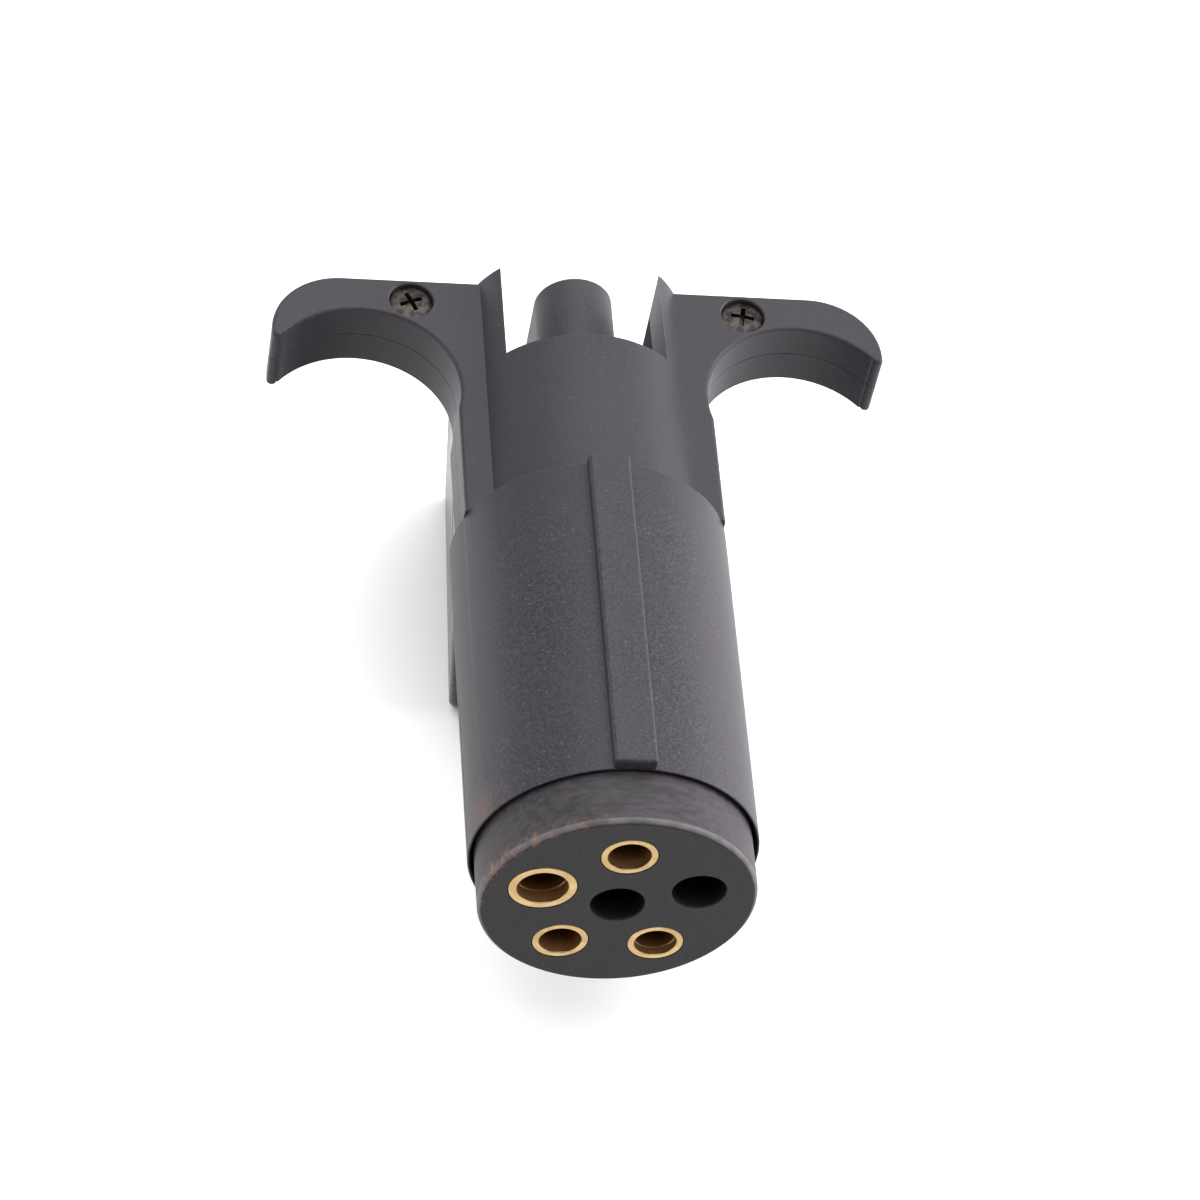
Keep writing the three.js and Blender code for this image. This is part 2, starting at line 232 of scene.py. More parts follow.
def loft(rings, name):
    """A closed solid through rings that have the same number of points."""
    bm = bmesh.new()
    loops = [[bm.verts.new(point) for point in ring] for ring in rings]
    count = len(loops[0])
    for one, two in zip(loops, loops[1:]):
        for k in range(count):
            j = (k + 1) % count
            bm.faces.new((one[k], one[j], two[j], two[k]))
    bm.faces.new(loops[0])
    bm.faces.new(loops[-1])
    return new_object(name, bm)


def raised(outline, levels, along="Z", name="raised"):
    """A closed outline carried through the levels, up Z, or along Y for an outline in X and Z."""
    rings = []
    for distance, height in levels:
        ring = inset(outline, distance) if distance > 1e-9 else outline
        rings.append([(u, v, height) if along == "Z" else (u, height, v) for u, v in ring])
    return loft(rings, name)


def block(x0, x1, y0, y1, z0, z1):
    return raised([(x0, y0), (x1, y0), (x1, y1), (x0, y1)], [(0, z0), (0, z1)], name="block")


def boolean(target, other, operation):
    """Joins or cuts target with other and removes other."""
    modifier = target.modifiers.new("boolean", "BOOLEAN")
    modifier.operation = operation
    modifier.solver = "EXACT"
    modifier.object = other
    depsgraph = bpy.context.evaluated_depsgraph_get()
    mesh = bpy.data.meshes.new_from_object(target.evaluated_get(depsgraph))
    target.modifiers.clear()
    old = target.data
    target.data = mesh
    bpy.data.meshes.remove(old)
    bpy.data.objects.remove(other)
    return target


def join(target, *others):
    for other in others:
        boolean(target, other, "UNION")
    return target


def cut(target, *others):
    for other in others:
        boolean(target, other, "DIFFERENCE")
    return target


def keep(target, other):
    return boolean(target, other, "INTERSECT")


def mirrored_pair(make):
    """The piece that make() builds on the right, and its mirror image on the left."""
    right, left = make(), make()
    left.data.transform(Matrix.Scale(-1, 4, (1, 0, 0)))
    left.data.flip_normals()
    return right, left


def apply_modifiers(obj):
    depsgraph = bpy.context.evaluated_depsgraph_get()
    old = obj.data
    obj.data = bpy.data.meshes.new_from_object(obj.evaluated_get(depsgraph))
    obj.modifiers.clear()
    bpy.data.meshes.remove(old)


def finish_piece(obj, name, material, node, bevel=0.0, sharp_angle=32):
    """Cleans a piece, rounds its sharp edges, moves it into the frame and puts it in the node's place."""
    merge_distance = 1e-4
    flat_angle = math.radians(0.3)
    bm = bmesh.new()
    bm.from_mesh(obj.data)
    bmesh.ops.remove_doubles(bm, verts=bm.verts, dist=merge_distance)
    bmesh.ops.dissolve_degenerate(bm, edges=bm.edges, dist=merge_distance)
    bmesh.ops.dissolve_limit(bm, angle_limit=flat_angle, verts=bm.verts, edges=bm.edges)
    bm.to_mesh(obj.data)
    bm.free()
    if bevel:
        modifier = obj.modifiers.new("soft_edges", "BEVEL")
        modifier.width = bevel
        modifier.segments = 2
        modifier.limit_method = "ANGLE"
        modifier.angle_limit = math.radians(sharp_angle)
        apply_modifiers(obj)
    obj.data.polygons.foreach_set("use_smooth", [True] * len(obj.data.polygons))
    obj.data.set_sharp_from_angle(angle=math.radians(sharp_angle))
    # large faces keep their own shading next to small rounded edges
    modifier = obj.modifiers.new("even_shading", "WEIGHTED_NORMAL")
    modifier.keep_sharp = True
    modifier.weight = 95
    apply_modifiers(obj)
    mesh = obj.data
    mesh.transform(TO_FRAME)
    mesh.materials.clear()
    mesh.materials.append(material)
    mesh.name = name
    obj.name = name
    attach(obj, "root")
    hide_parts(node)
    return obj


# ---------------------------------------------------------------- materials
class Nodes:
    """A short way to write a node tree."""

    def __init__(self, name):
        self.material = bpy.data.materials.new(name)
        self.material.use_nodes = True
        self.tree = self.material.node_tree
        self.shader = self.tree.nodes["Principled BSDF"]
        self.place = self.add("ShaderNodeTexCoord").outputs["Object"]

    def add(self, kind, **settings):
        node = self.tree.nodes.new(kind)
        for key, value in settings.items():
            if hasattr(node, key):
                setattr(node, key, value)
            else:
                node.inputs[key.replace("_", " ")].default_value = value
        return node

    def link(self, output, socket):
        self.tree.links.new(output, socket)

    def mapped(self, scale=(1, 1, 1), location=(0, 0, 0)):
        node = self.add("ShaderNodeMapping")
        node.inputs["Scale"].default_value = scale
        node.inputs["Location"].default_value = location
        self.link(self.place, node.inputs["Vector"])
        return node.outputs["Vector"]

    def noise(self, scale, detail=2.0, roughness=0.5, vector=None):
        node = self.add("ShaderNodeTexNoise", Scale=scale, Detail=detail, Roughness=roughness)
        self.link(vector or self.place, node.inputs["Vector"])
        return node.outputs["Fac"]

    def ramp(self, value, low, high, to_low=0.0, to_high=1.0):
        node = self.add("ShaderNodeMapRange", interpolation_type="SMOOTHSTEP")
        for key, number in (("From Min", low), ("From Max", high), ("To Min", to_low), ("To Max", to_high)):
            node.inputs[key].default_value = number
        self.link(value, node.inputs["Value"])
        return node.outputs["Result"]

    def math(self, operation, a, b):
        node = self.add("ShaderNodeMath", operation=operation)
        for socket, value in zip(node.inputs, (a, b)):
            if isinstance(value, (int, float)):
                socket.default_value = value
            else:
                self.link(value, socket)
        return node.outputs["Value"]

    def mix(self, factor, a, b):
        node = self.add("ShaderNodeMix", data_type="RGBA")
        self.link(factor, node.inputs["Factor"])
        for socket, value in ((node.inputs[6], a), (node.inputs[7], b)):
            if isinstance(value, tuple):
                socket.default_value = (*value, 1)
            else:
                self.link(value, socket)
        return node.outputs[2]

    def near(self, point_mm, radius_mm):
        """1 at the point, in millimetres around the barrel's axis, falling to 0 at the radius."""
        node = self.add("ShaderNodeVectorMath", operation="DISTANCE")
        self.link(self.place, node.inputs[0])
        node.inputs[1].default_value = TO_FRAME @ Vector(point_mm)
        return self.ramp(node.outputs["Value"], 0, radius_mm * MM, 1, 0)

    def along(self, axis):
        """Place along Y or Z, in millimetres from the middle of the barrel's front edge."""
        node = self.add("ShaderNodeSeparateXYZ")
        self.link(self.place, node.inputs[0])
        start = ORIGIN.y if axis == "Y" else ORIGIN.z
        return self.math("DIVIDE", self.math("SUBTRACT", node.outputs[axis], start), MM)

    def radius(self):
        """Distance from the barrel's axis, in metres."""
        node = self.add("ShaderNodeVectorMath", operation="LENGTH")
        self.link(self.mapped((1, 0, 1), (0, 0, -ORIGIN.z)), node.inputs[0])
        return node.outputs["Value"]

    def edges(self, radius_mm):
        """1 on outer and inner edges, 0 on open surfaces."""
        bevel = self.add("ShaderNodeBevel", samples=6)
        bevel.inputs["Radius"].default_value = radius_mm * MM
        geometry = self.add("ShaderNodeNewGeometry")
        dot = self.add("ShaderNodeVectorMath", operation="DOT_PRODUCT")
        self.link(bevel.outputs["Normal"], dot.inputs[0])
        self.link(geometry.outputs["Normal"], dot.inputs[1])
        return self.ramp(dot.outputs["Value"], 0.995, 0.9, 0, 1)

    def scuffed(self, colour, scuffs, pattern):
        """The colour with scuffs (place in millimetres, radius, amount) that follow the pattern."""
        for point, radius, amount in scuffs:
            mask = self.math("MULTIPLY", self.near(point, radius), pattern)
            colour = self.mix(self.math("MULTIPLY", mask, amount), colour, SCUFF)
        return colour

    def bump(self, height, strength, distance_mm):
        node = self.add("ShaderNodeBump")
        node.inputs["Strength"].default_value = strength
        node.inputs["Distance"].default_value = distance_mm * MM
        self.link(height, node.inputs["Height"])
        self.link(node.outputs["Normal"], self.shader.inputs["Normal"])

    def color(self, output):
        self.link(output, self.shader.inputs["Base Color"])

    def roughness(self, output):
        self.link(output, self.shader.inputs["Roughness"])


SCUFF = (0.42, 0.19, 0.10)


def times(factor, colour):
    return tuple(factor * c for c in colour)


def moulded(name, base, roughness, specks=1.0, scuffs=(), body_roughness=None):
    """Moulded plastic with an eroded grain, coarser on the barrel, with light specks and paler edges."""
    n = Nodes(name)
    grain = n.noise(3000, 2.5, 0.6)
    forward = n.ramp(n.along("Y"), BARREL_LENGTH + 2, BARREL_LENGTH - 12, 0.35, 1)
    mottled = n.mix(n.ramp(grain, 0.36, 0.64), times(0.70, base), times(1.30, base))
    colour = n.mix(forward, base, mottled)
    colour = n.mix(n.ramp(n.noise(90, 2), 0.35, 0.65, 0, 0.35), colour, times(1.12, base))
    flecks = n.ramp(n.noise(3000, 1.5, 0.5), 0.70, 0.78, 0, 0.7 * specks)
    colour = n.mix(n.math("MULTIPLY", flecks, forward), colour, times(3.6, base))
    colour = n.mix(n.math("MULTIPLY", n.edges(0.3), 0.3), colour, times(2.6, base))
    n.color(n.scuffed(colour, scuffs, n.ramp(n.noise(400, 5, 0.7), 0.38, 0.62)))
    rough = n.ramp(grain, 0.3, 0.7, roughness - 0.04, roughness + 0.04)
    if body_roughness:
        # the deep body behind the barrel is smoother than the barrel
        body = n.math("MULTIPLY", n.ramp(n.along("Y"), BARREL_LENGTH - 0.2, BARREL_LENGTH),
                      n.ramp(n.along("Z"), WING_BOTTOM + 0.1, WING_BOTTOM - 0.4))
        rough = n.math("ADD", rough, n.math("MULTIPLY", body, body_roughness - roughness))
    n.roughness(rough)
    n.shader.inputs["Specular IOR Level"].default_value = 0.2
    n.bump(grain, 0.45, 0.03)
    return n.material


def housing_material():
    scuffs = [((-15.6, 1.0, 7.0), 4.5, 0.16), ((-16.5, 3.0, 4.5), 3.5, 0.10)]
    return moulded("housing_plastic", (0.0372, 0.0350, 0.0412), 0.46, scuffs=scuffs, body_roughness=0.26)


def carrier_material():
    n = Nodes("carrier_plastic")
    base = (0.0120, 0.0115, 0.0124)
    streaks = n.noise(1300, 4, 0.65, n.mapped((0.25, 1, 1)))
    colour = n.mix(n.ramp(streaks, 0.35, 0.65), times(0.65, base), times(1.35, base))
    colour = n.mix(n.ramp(n.noise(330, 3), 0.45, 0.7, 0, 0.35), colour, times(1.35, base))
    fine = n.noise(3000, 2.5, 0.6)
    colour = n.mix(n.ramp(fine, 0.42, 0.32, 0, 0.8), colour, times(0.45, base))
    colour = n.mix(n.ramp(fine, 0.60, 0.72, 0, 0.6), colour, times(2.8, base))
    colour = n.mix(n.math("MULTIPLY", n.edges(0.3), 0.25), colour, (0.10, 0.095, 0.098))
    outer = n.ramp(n.radius(), 15.8 * MM, 16.1 * MM)
    # painted light and shade: the carrier's round side gets a much lighter colour than its front face,
    # because the side catches the lamps and the face stays in shade
    side = n.mix(n.ramp(streaks, 0.35, 0.65), (0.030, 0.0273, 0.031), (0.051, 0.0463, 0.052))
    colour = n.mix(outer, colour, side)
    # painted highlight: the rounded front rim gets a pale colour, broken into patches by noise, which stands
    # in for the light the rim catches
    rounded = n.math("MULTIPLY", outer, n.ramp(n.along("Y"), CARRIER_FRONT + 0.85, CARRIER_FRONT + 0.5))
    rim_highlight_breakup = n.ramp(n.noise(420, 3), 0.3, 0.6, 0.45, 1)
    colour = n.mix(n.math("MULTIPLY", rounded, rim_highlight_breakup), colour, (0.13, 0.122, 0.126))
    rim = n.math("MULTIPLY", n.ramp(n.radius(), 15.4 * MM, 16.0 * MM),
                 n.ramp(n.along("Y"), CARRIER_FRONT + 2.2, CARRIER_FRONT + 0.6))
    marks = n.math("MULTIPLY", rim, n.ramp(n.noise(650, 5, 0.8), 0.45, 0.62))
    front = CARRIER_FRONT
    scuffs = [((-12.4, front, 10.4), 8, 0.4), ((-15.6, front, 3), 6.5, 0.5), ((-6, front, 15), 5, 0.2)]
    colour = n.scuffed(colour, scuffs, marks)
    # painted shade: the hole walls turn almost black from just behind the face inwards, standing in for the
    # shade inside the holes
    deep = n.math("MULTIPLY", n.ramp(n.along("Y"), CARRIER_FRONT + 0.15, CARRIER_FRONT + 1.2),
                  n.ramp(n.radius(), 14.6 * MM, 14.2 * MM))
    colour = n.mix(deep, colour, (0.007, 0.007, 0.0075))
    n.color(colour)
    n.roughness(n.ramp(streaks, 0.3, 0.7, 0.5, 0.6))
    n.shader.inputs["Specular IOR Level"].default_value = 0.2
    n.bump(n.math("ADD", n.math("MULTIPLY", streaks, 0.6), fine), 0.3, 0.03)
    return n.material


def brass_material():
    n = Nodes("brass")
    tone = n.ramp(n.noise(500, 2), 0.3, 0.7)
    colour = n.mix(tone, (0.38, 0.26, 0.115), (0.50, 0.355, 0.17))
    at_plug = n.ramp(n.along("Y"), CARRIER_REAR, CARRIER_REAR - 1)
    inside = n.math("MULTIPLY", n.ramp(n.along("Y"), CARRIER_FRONT + 0.15, CARRIER_FRONT + 0.6), at_plug)
    colour = n.mix(inside, colour, (0.26, 0.125, 0.045))
    # painted shade: the bores turn darker the deeper they go, standing in for the shade far inside them
    deep = n.math("MULTIPLY", n.ramp(n.along("Y"), CARRIER_FRONT + 0.8, CARRIER_FRONT + 4.0), at_plug)
    colour = n.mix(deep, colour, (0.10, 0.04, 0.02))
    n.color(colour)
    n.link(n.ramp(inside, 0, 1, 1, 0.35), n.shader.inputs["Metallic"])
    n.roughness(n.ramp(n.noise(1200, 2), 0.3, 0.7, 0.32, 0.40))
    n.bump(n.noise(1500, 2, 0.5, n.mapped((0.3, 2.5, 0.3))), 0.06, 0.015)
    return n.material


def oxide_material():
    n = Nodes("screw_oxide")
    patches = n.ramp(n.noise(900, 3, 0.6), 0.42, 0.6)
    colour = n.mix(patches, (0.016, 0.013, 0.012), (0.060, 0.048, 0.045))
    colour = n.mix(n.math("MULTIPLY", n.edges(0.2), 0.3), colour, (0.16, 0.13, 0.12))
    n.color(colour)
    n.shader.inputs["Metallic"].default_value = 0.75
    n.roughness(n.ramp(n.noise(1800, 2), 0.3, 0.7, 0.36, 0.5))
    n.bump(n.noise(2200, 2), 0.2, 0.03)
    return n.material


def coloured_plastic(name, colour):
    """Wire insulation and tubing, with a faint mottle."""
    n = Nodes(name)
    roughness, spread = 0.45, 0.08
    tone = n.ramp(n.noise(1200, 3), 0.3, 0.7)
    n.color(n.mix(tone, times(0.8, colour), colour))
    n.roughness(n.ramp(n.noise(2500, 2), 0.3, 0.7, roughness - spread, roughness + spread))
    n.bump(n.noise(2800, 2), 0.12, 0.03)
    return n.material


HOUSING = housing_material()
CARRIER_PLASTIC = carrier_material()
BRASS = brass_material()
OXIDE = oxide_material()
OUTLET_RUBBER = moulded("outlet_rubber", (0.042, 0.041, 0.047), 0.5, specks=0.5)


# ---------------------------------------------------------------- housings
def wing_outline():
    """The right half of the wing plate from above, hook included."""
    start = 180 + math.degrees(math.acos((FINGER_X - WING_HALF_WIDTH) / FINGER_R))
    tip_x = HOOK_REACH - HOOK_TIP_R
    end = math.degrees(math.atan2(HOOK_TIP_Y - FINGER_Y, tip_x - HOOK_TIP_R - FINGER_X))
    front = BARREL_LENGTH - 0.2
    points = [(0, front), (WING_HALF_WIDTH, front)]
    points += arc(FINGER_X, FINGER_Y, FINGER_R, start, end, 56)
    points += arc(tip_x, HOOK_TIP_Y, HOOK_TIP_R, 180, 360, 12)[1:]
    points += arc(HOOK_REACH - HOOK_CORNER_R, WING_REAR - HOOK_CORNER_R, HOOK_CORNER_R, 0, 90, 24)
    points.append((0, WING_REAR))
    return points


def barrel():
    e = 0.15
    profile = [(0, 0)]
    profile += [(BARREL_R - e + u, e + v) for u, v in arc(0, 0, e, -90, 0, 4)]
    profile += [(BARREL_R - e + u, BARREL_LENGTH - e + v) for u, v in arc(0, 0, e, 0, 90, 4)]
    profile.append((0, BARREL_LENGTH))
    return turned(profile, 192, name="barrel")


def key_rib():
    r = 0.3
    half = KEY_WIDTH / 2
    outline = arc(-half + r, r, r, 180, 270, 4) + arc(half - r, r, r, 270, 360, 4)
    outline += [(half, BARREL_LENGTH), (-half, BARREL_LENGTH)]
    return raised(outline, rounded_levels(NECK_R - 1, KEY_TOP, 0, 0.4), name="key_rib")


def neck():
    return turned([(0, BARREL_LENGTH - 1), (NECK_R, BARREL_LENGTH - 1), (NECK_R, WING_REAR), (0, WING_REAR)],
                  192, name="neck")


def tower_half_width(y, z):
    back = (y - BARREL_LENGTH) / (WING_REAR - BARREL_LENGTH)
    down = max(0, (WING_BOTTOM - z) / (WING_BOTTOM - BASE_Z))
    return WING_HALF_WIDTH - TOWER_TAPER * back - (WING_HALF_WIDTH - BASE_HALF_WIDTH) * down


def rounding(depth, radius):
    """How far a rounded edge falls back from the face beside it, at a depth behind the face in front."""
    if depth >= radius:
        return 0
    return radius - math.sqrt(radius ** 2 - (radius - depth) ** 2)


def tower():
    """The deep body below the neck, narrower towards its base and its rear, with a rounded toe."""
    base_r, side_r, rear_r, steps = 1.6, 1.3, 0.3, 10
    rear_steps, spacing = 4, 10
    stations = []
    for k in range(steps + 1):
        a = math.pi / 2 * k / steps
        stations.append((BARREL_LENGTH + TOE_R * (1 - math.cos(a)), 0))
    stations += [(BARREL_LENGTH + TOE_R + spacing * k, 0) for k in (1, 2, 3)]
    for k in range(rear_steps + 1):
        a = math.pi / 2 * k / rear_steps
        stations.append((WING_REAR - rear_r * (1 - math.sin(a)), rear_r * (1 - math.cos(a))))
    rings = []
    for y, rear_inset in stations:
        depth = y - BARREL_LENGTH
        side = rounding(depth, side_r) + rear_inset
        low = BASE_Z + rounding(depth, TOE_R) + rear_inset
        foot = tower_half_width(y, low) - side
        waist = tower_half_width(y, WING_BOTTOM) - side
        right = [(waist, WING_SEAM - SEAM), (waist, WING_BOTTOM)]
        right += [(foot - base_r + u, low + base_r + v) for u, v in arc(0, 0, base_r, 0, -90, 8)]
        outline = right + [(-x, z) for x, z in reversed(right)]
        rings.append([(x, y, z) for x, z in outline])
    return loft(rings, "tower")


def hollow():
    """The space inside the shell: the barrel's bore, the wire chamber, the channel and the outlet's slot."""
    end_wall = NECK_END - WALL
    lip = 0.3
    bore = turned([
        (0, -1), (BORE_R + lip, -1), (BORE_R + lip, 0), (BORE_R, 2 * lip), (BORE_R, BORE_STEP_Y),
        (BORE_INNER_R, BORE_STEP_Y), (BORE_INNER_R, LEDGE_FRONT),
        (LEDGE_R, LEDGE_FRONT), (LEDGE_R, LEDGE_REAR), (BORE_INNER_R, LEDGE_REAR),
        (BORE_INNER_R, BARREL_LENGTH - WALL), (NECK_BORE_R, BARREL_LENGTH - WALL), (NECK_BORE_R, end_wall),
        (0, end_wall),
    ], 160, name="bore")
    half = CHAMBER_HALF_WIDTH
    chamber = block(-half, half, BARREL_LENGTH + WALL, end_wall - 0.01, FLOOR_Z, 0)
    half = CHANNEL_HALF_WIDTH
    channel = block(-half, half, NECK_END, WING_REAR + 2, FLOOR_Z, KEY_TOP + 2)
    outline = stadium(OUTLET_HALF_WIDTH + GAP, PIN_POSITION)
    slot = raised(outline, [(0, end_wall - 1), (0, NECK_END + 1)], along="Y")
    return bore, chamber, channel, slot


def stadium(half_width, last_position, steps=24):
    """The outlet's tall outline with round ends, down to one of its contact positions."""
    top = arc(OUTLET_X, outlet_z(0), half_width, 0, 180, steps)
    return top + arc(OUTLET_X, outlet_z(last_position), half_width, 180, 360, steps)


def screw_hole():
    flare = 0.15
    low = WING_BOTTOM + 1
    seat = SCREW_SEAT - 0.1
    wide = COUNTERBORE_R + flare
    profile = [(0, low), (SCREW_HOLE_R, low), (SCREW_HOLE_R, seat), (COUNTERBORE_R, seat)]
    profile += [(COUNTERBORE_R, WING_TOP - flare), (wide, WING_TOP), (wide, WING_TOP + 1), (0, WING_TOP + 1)]
    hole = turned(profile, 64, name="screw_hole")
    hole.data.transform(Matrix.Translation((SCREW_X, SCREW_Y, 0)) @ Matrix.Rotation(math.pi / 2, 4, "X"))
    return hole


def upper_housing():
    above_axis = block(-FAR_X, FAR_X, FAR_FRONT, FAR_REAR, SEAM, FAR_HIGH)
    shell = join(barrel(), key_rib(), neck())
    keep(shell, above_axis)
    rear_low = block(-FAR_X, FAR_X, BARREL_LENGTH - SEAM, FAR_REAR, -5, WING_SEAM + SEAM)
    cut(shell, rear_low)
    levels = rounded_levels(WING_SEAM + SEAM, WING_TOP, 0.06, 0.55)
    join(shell, *mirrored_pair(lambda: raised(wing_outline(), levels, name="wing")))
    cut(shell, *hollow(), *mirrored_pair(screw_hole))
    return finish_piece(shell, "housing_upper_moulding", HOUSING, "upper_housing", bevel=0.07)


def lower_housing():
    below_axis = block(-FAR_X, FAR_X, FAR_FRONT, BARREL_LENGTH + 5, FAR_LOW, -SEAM)
    shell = keep(barrel(), below_axis)
    levels = rounded_levels(WING_BOTTOM, WING_SEAM - SEAM, 0.25, 0.06)
    join(shell, tower(), *mirrored_pair(lambda: raised(wing_outline(), levels, name="wing")))
    front_top = block(-FAR_X, FAR_X, FAR_FRONT, BARREL_LENGTH + SEAM, -SEAM, FAR_HIGH)
    cut(shell, front_top)
    cut(shell, *hollow(), *mirrored_pair(screw_hole))
    return finish_piece(shell, "housing_lower_moulding", HOUSING, "lower_housing", bevel=0.07)


# ---------------------------------------------------------------- round plug
def hole_cutter(radius, end, x, z, flare=0.12):
    front = CARRIER_FRONT
    wide = radius + flare
    profile = [(0, front - 1), (wide, front - 1), (wide, front)]
    profile += [(radius, front + flare), (radius, end), (0, end)]
    return turned(profile, 72, x, z, name="hole")


def contact_carrier():
    r = CARRIER_R
    e = 0.7
    profile = [(0, CARRIER_FRONT)]
    profile += [(r - e + u, CARRIER_FRONT + e + v) for u, v in arc(0, 0, e, -90, 0, 8)]
    shoulder, stem_r = BORE_STEP_Y - GAP, BORE_INNER_R - GAP
    profile += [(r, shoulder), (stem_r, shoulder), (stem_r, CARRIER_REAR), (0, CARRIER_REAR)]
    body = turned(profile, 192, name="carrier")
    for angle, sleeve_r, *_ in CONTACTS.values():
        cut(body, hole_cutter(sleeve_r + 0.08, CARRIER_REAR + 1, *on_circle(angle), flare=0.08))
    for x, z in ((0, CONTACT_CENTER_Z), on_circle(EMPTY_ANGLE)):
        cut(body, hole_cutter(EMPTY_HOLE_R, EMPTY_HOLE_END, x, z))
    return finish_piece(body, "contact_carrier_moulding", CARRIER_PLASTIC, "contact_carrier")


def plug_socket(name):
    angle, r, bore, mouth, _ = CONTACTS[name]
    front = CARRIER_FRONT
    step = 0.13
    drill_point = 1.2
    e = 0.14
    bottom = front + SOCKET_DEPTH
    profile = [(0, bottom + drill_point), (bore - step, bottom), (bore - step, front + mouth + 0.12),
               (bore, front + mouth)]
    profile += [(bore + e + u, front + e + v) for u, v in arc(0, 0, e, 180, 270, 4)]
    profile += [(r - e + u, front + e + v) for u, v in arc(0, 0, e, 270, 360, 4)]
    chamfer = 0.3
    profile += [(r, CARRIER_REAR - chamfer), (r - chamfer, CARRIER_REAR), (CUP_R, CARRIER_REAR)]
    profile += [(CUP_R, CUP_END - chamfer), (CUP_R - chamfer, CUP_END), (0, CUP_END)]
    x, z = on_circle(angle)
    return finish_piece(turned(profile, 96, x, z), f"plug_sleeve_{name}", BRASS, f"socket_{name}")


# ---------------------------------------------------------------- flat outlet
def outlet_block():
    edge = 0.5
    levels = rounded_levels(OUTLET_FRONT, FLANGE_REAR, 0.3, 0.3)
    body = raised(stadium(FLANGE_HALF_WIDTH, PIN_POSITION), levels, along="Y")
    levels = rounded_levels(OUTLET_FRONT + 0.5, OUTLET_REAR, 0, edge)
    shroud = raised(stadium(OUTLET_HALF_WIDTH, PIN_POSITION - 1), levels, along="Y")
    levels = rounded_levels(OUTLET_FRONT + 0.4, PIN_BASE_REAR, 0, edge)
    base = raised(stadium(OUTLET_HALF_WIDTH - 0.02, PIN_POSITION), levels, along="Y")
    join(body, shroud, base)
    for *_, position in CONTACTS.values():
        at = OUTLET_X, outlet_z(position)
        r = TAIL_R + GAP / 2
        tail = [(0, OUTLET_FRONT - 1), (r, OUTLET_FRONT - 1), (r, CONTACT_FRONT), (0, CONTACT_FRONT)]
        cut(body, turned(tail, 32, *at))
        seat = CONTACT_FRONT - GAP
        bore = [(0, seat)]
        if position == PIN_POSITION:
            r, end = PIN_SEAT_R, PIN_BASE_REAR
            bore += [(r, seat), (r, end - 0.2), (r + 0.35, end + 1), (0, end + 1)]
        else:
            r, wide, end = OUTLET_SEAT_R, OUTLET_MOUTH_R, OUTLET_REAR
            bore += [(r, seat), (r, OUTLET_MOUTH_Y), (wide, OUTLET_MOUTH_Y), (wide, end - 0.3)]
            bore += [(wide + 0.3, end), (wide + 0.3, end + 1), (0, end + 1)]
        cut(body, turned(bore, 64, *at))
    return finish_piece(body, "flat_outlet_moulding", OUTLET_RUBBER, "outlet_block", bevel=0.08)


def contact_tail(low):
    """Profile of the solder tail up to the contact's front shoulder."""
    return [(0, low), (TAIL_R - 0.3, low), (TAIL_R, low + 0.3), (TAIL_R, CONTACT_FRONT)]


def outlet_socket(name):
    low, high = (corner.y for corner in span(f"outlet_socket_{name}"))
    e = 0.15
    r, bore, depth = OUTLET_SLEEVE_R, OUTLET_SLEEVE_BORE_R, OUTLET_SLEEVE_DEPTH
    profile = contact_tail(low) + [(r, CONTACT_FRONT)]
    profile += [(r - e + u, high - e + v) for u, v in arc(0, 0, e, 0, 90, 4)]
    profile += [(bore + e + u, high - e + v) for u, v in arc(0, 0, e, 90, 180, 4)]
    profile += [(bore, high - depth), (0, high - depth - 1)]
    *_, position = CONTACTS[name]
    body = turned(profile, 64, OUTLET_X, outlet_z(position))
    return finish_piece(body, f"outlet_sleeve_{name}", BRASS, f"outlet_socket_{name}")


def outlet_pin():
    low, high = (corner.y for corner in span("outlet_pin_ground"))
    r, groove = PIN_R, PIN_R - 0.25
    profile = contact_tail(low) + [(r, CONTACT_FRONT)]
    profile += [(r, high - 4.2), (groove, high - 3.9), (groove, high - 3.4), (r, high - 3.1)]
    for k in range(1, 6):
        a = math.radians(15 * k)
        profile.append((r * math.cos(a), high - PIN_TIP_R + PIN_TIP_R * math.sin(a)))
    profile.append((0, high))
    body = turned(profile, 64, OUTLET_X, outlet_z(PIN_POSITION))
    return finish_piece(body, "outlet_pin", BRASS, "outlet_pin_ground")


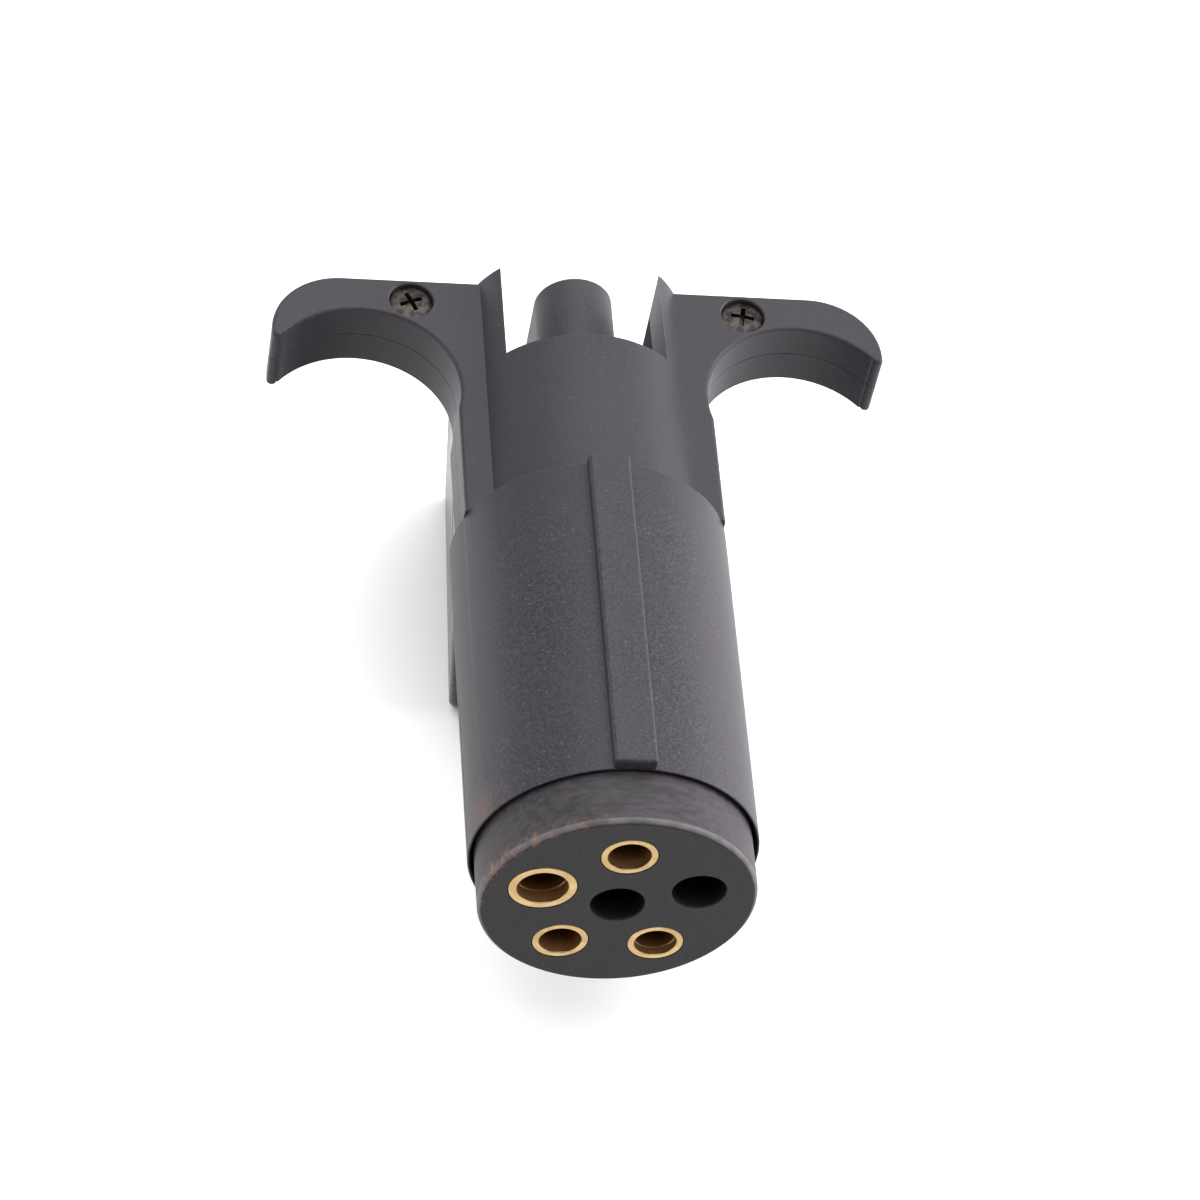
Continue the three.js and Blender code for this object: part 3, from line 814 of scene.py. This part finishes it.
# ---------------------------------------------------------------- screws
def screw(side):
    node = "screw_left" if side < 0 else "screw_right"
    low, high = span(node)
    head_r = (high.x - low.x) / 2
    core_r, crest_r, shank_r, pitch = 1.0, 1.35, 1.3, 0.5
    dome_height, e = 0.5, 0.15
    slot_half_width, slot_half_length, slot_depth, slot_draft = 0.42, 1.65, 1.25, 0.22
    head_turn = 24 if side < 0 else -10
    profile = [(0, low.z), (0.5, low.z + 0.1)]
    for k in range(9):
        z = low.z + 0.8 + k * pitch
        profile += [(core_r, z), (crest_r, z + pitch / 2)]
    profile += [(shank_r, SCREW_SEAT), (head_r - e, SCREW_SEAT), (head_r, SCREW_SEAT + e)]
    for k in range(1, 9):
        a = math.radians(10 * k)
        profile.append((head_r * math.cos(a), high.z - dome_height + dome_height * math.sin(a)))
    profile.append((0, high.z))
    body = turned(profile, 64, name="screw")
    body.data.transform(Matrix.Rotation(math.pi / 2, 4, "X"))
    w, h = slot_half_width, slot_half_length
    for turn in (0, 90):
        slot = raised([(-w, -h), (w, -h), (w, h), (-w, h)],
                      [(slot_draft, high.z - slot_depth), (0, high.z + 1)], name="slot")
        slot.data.transform(Matrix.Rotation(math.radians(turn), 4, "Z"))
        cut(body, slot)
    body.data.transform(Matrix.Translation((side * SCREW_X, SCREW_Y, 0))
                        @ Matrix.Rotation(math.radians(head_turn), 4, "Z"))
    return finish_piece(body, f"{node}_machined", OXIDE, node, bevel=0.05, sharp_angle=40)


def carried_over():
    """Inner CAD pieces keep their shape and get a finish."""
    looks = {
        "wire_right_turn": coloured_plastic("wire_green", (0.02, 0.20, 0.05)),
        "wire_left_turn": coloured_plastic("wire_yellow", (0.70, 0.48, 0.03)),
        "wire_tail": coloured_plastic("wire_brown", (0.15, 0.05, 0.02)),
        "wire_ground": coloured_plastic("wire_white", (0.80, 0.78, 0.72)),
        "carrier_lock_plate": CARRIER_PLASTIC,
    }
    tubing = coloured_plastic("shrink_tubing", (0.012, 0.012, 0.013))
    looks.update({f"shrink_{name}": tubing for name in CONTACTS})
    for node, material in looks.items():
        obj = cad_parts[node]
        obj.data.materials.clear()
        obj.data.materials.append(material)


# ---------------------------------------------------------------- stage
def camera():
    """The view of the reference: from above, in front and a little to the left."""
    data = bpy.data.cameras.new("camera")
    data.sensor_width = 36
    data.lens = 123.8
    data.clip_start, data.clip_end = 0.01, 20
    obj = bpy.data.objects.new("camera", data)
    bpy.context.scene.collection.objects.link(obj)
    view = Vector((0.15478, 0.61599, -0.77240)).normalized()
    up = Vector((-0.03565, 0.78479, 0.61873))
    right = view.cross(up).normalized()
    up = right.cross(view)
    rotation = Matrix((right, up, -view)).transposed()
    obj.matrix_world = Matrix.Translation(TO_FRAME @ Vector((-77.07, -272.90, 389.66))) @ rotation.to_4x4()
    bpy.context.scene.camera = obj


def floor():
    half = 3.0
    clearance = 0.00005
    bm = bmesh.new()
    corners = ((-half, -half), (half, -half), (half, half), (-half, half))
    bm.faces.new([bm.verts.new((x, y, 0)) for x, y in corners])
    obj = new_object("floor", bm)
    obj.location.z = cad_bounds[0].z - clearance
    n = Nodes("pale_floor")
    n.color(n.mix(n.ramp(n.noise(3, 2), 0.3, 0.7), (0.90, 0.90, 0.90), (0.93, 0.93, 0.93)))
    n.shader.inputs["Roughness"].default_value = 0.9
    n.shader.inputs["Emission Color"].default_value = (1, 1, 1, 1)
    n.shader.inputs["Emission Strength"].default_value = 0.15
    obj.data.materials.append(n.material)


def area_light(name, place, target, size, power, colour=(1, 1, 1)):
    data = bpy.data.lights.new(name, "AREA")
    data.shape = "DISK"
    data.size = size
    data.energy = power
    data.color = colour
    obj = bpy.data.objects.new(name, data)
    bpy.context.scene.collection.objects.link(obj)
    obj.location = place
    obj.rotation_mode = "QUATERNION"
    obj.rotation_quaternion = (Vector(target) - Vector(place)).to_track_quat("-Z", "Y")


def lights():
    world = bpy.data.worlds.new("studio")
    world.use_nodes = True
    tree = world.node_tree
    background = tree.nodes["Background"]
    background.inputs["Color"].default_value = (1, 1, 1, 1)
    # darker towards the front (-Y) and the left (-X), so that front faces stay deep
    direction = tree.nodes.new("ShaderNodeTexCoord").outputs["Generated"]
    brighter = tree.nodes.new("ShaderNodeVectorMath")
    brighter.operation = "DOT_PRODUCT"
    brighter.inputs[1].default_value = (0.9, 1.0, 0.0)
    tree.links.new(direction, brighter.inputs[0])
    strength = tree.nodes.new("ShaderNodeMapRange")
    for key, number in (("From Min", -0.9), ("From Max", 1.3), ("To Min", 0.08), ("To Max", 1.15)):
        strength.inputs[key].default_value = number
    tree.links.new(brighter.outputs["Value"], strength.inputs["Value"])
    tree.links.new(strength.outputs["Result"], background.inputs["Strength"])
    bpy.context.scene.world = world
    centre = (0, 0, 0.03)
    area_light("top", (0.0, 0.12, 1.05), centre, 1.5, 17.5, (1.0, 1.0, 1.0))
    area_light("right", (0.9, 0.12, 0.28), centre, 0.8, 11, (1.0, 0.93, 1.0))
    area_light("left", (-0.95, 0.1, 0.12), centre, 0.5, 2.5, (1.0, 0.94, 1.0))
    bpy.context.scene.view_settings.view_transform = "Standard"


upper_housing()
lower_housing()
contact_carrier()
for contact in CONTACTS:
    plug_socket(contact)
outlet_block()
for contact in ("right_turn", "left_turn", "tail"):
    outlet_socket(contact)
outlet_pin()
screw(-1)
screw(1)
carried_over()
camera()
floor()
lights()
